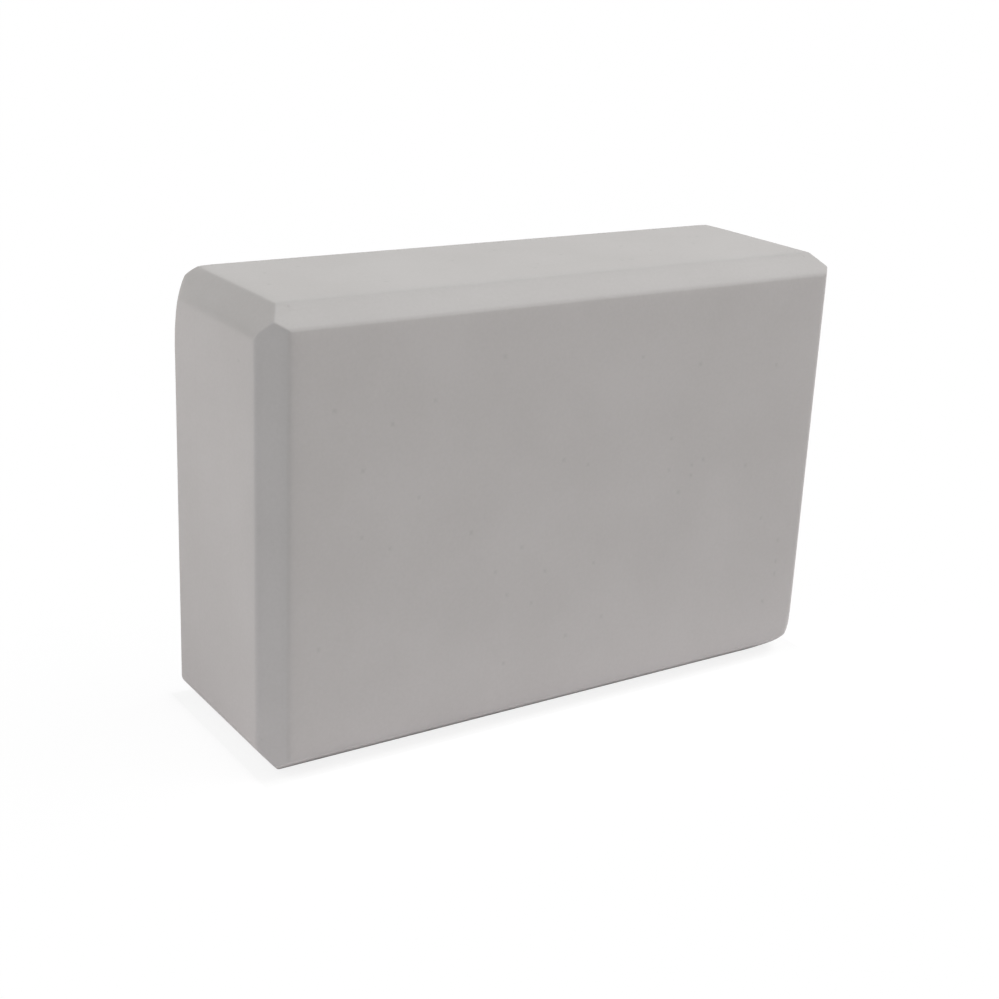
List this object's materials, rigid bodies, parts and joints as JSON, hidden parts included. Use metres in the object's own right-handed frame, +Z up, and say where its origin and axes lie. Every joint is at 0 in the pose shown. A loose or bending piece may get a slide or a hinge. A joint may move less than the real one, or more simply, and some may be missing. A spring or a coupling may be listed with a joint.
{
  "type": "yoga block",
  "caption": "Light grey foam yoga block with mitred chamfers on every edge, built up from bonded foam sheets, to prop or raise the body in exercise.",
  "frame": {"origin": "under the middle of the block, on the surface that it stands on with a long narrow side down", "axes": "+X along the block's length, +Y from the front large face to the rear large face, +Z up"},
  "size_m": [0.225, 0.075, 0.152],
  "materials": {
    "foam": "matt closed-cell foam, light warm grey",
    "adhesive": "thin film of set adhesive, close to the foam's colour"
  },
  "bodies": {
    "root": {"front_ply": "foam", "front_bond_film": "adhesive", "core_ply": "foam", "rear_bond_film": "adhesive", "rear_ply": "foam"}
  },
  "joints": []
}
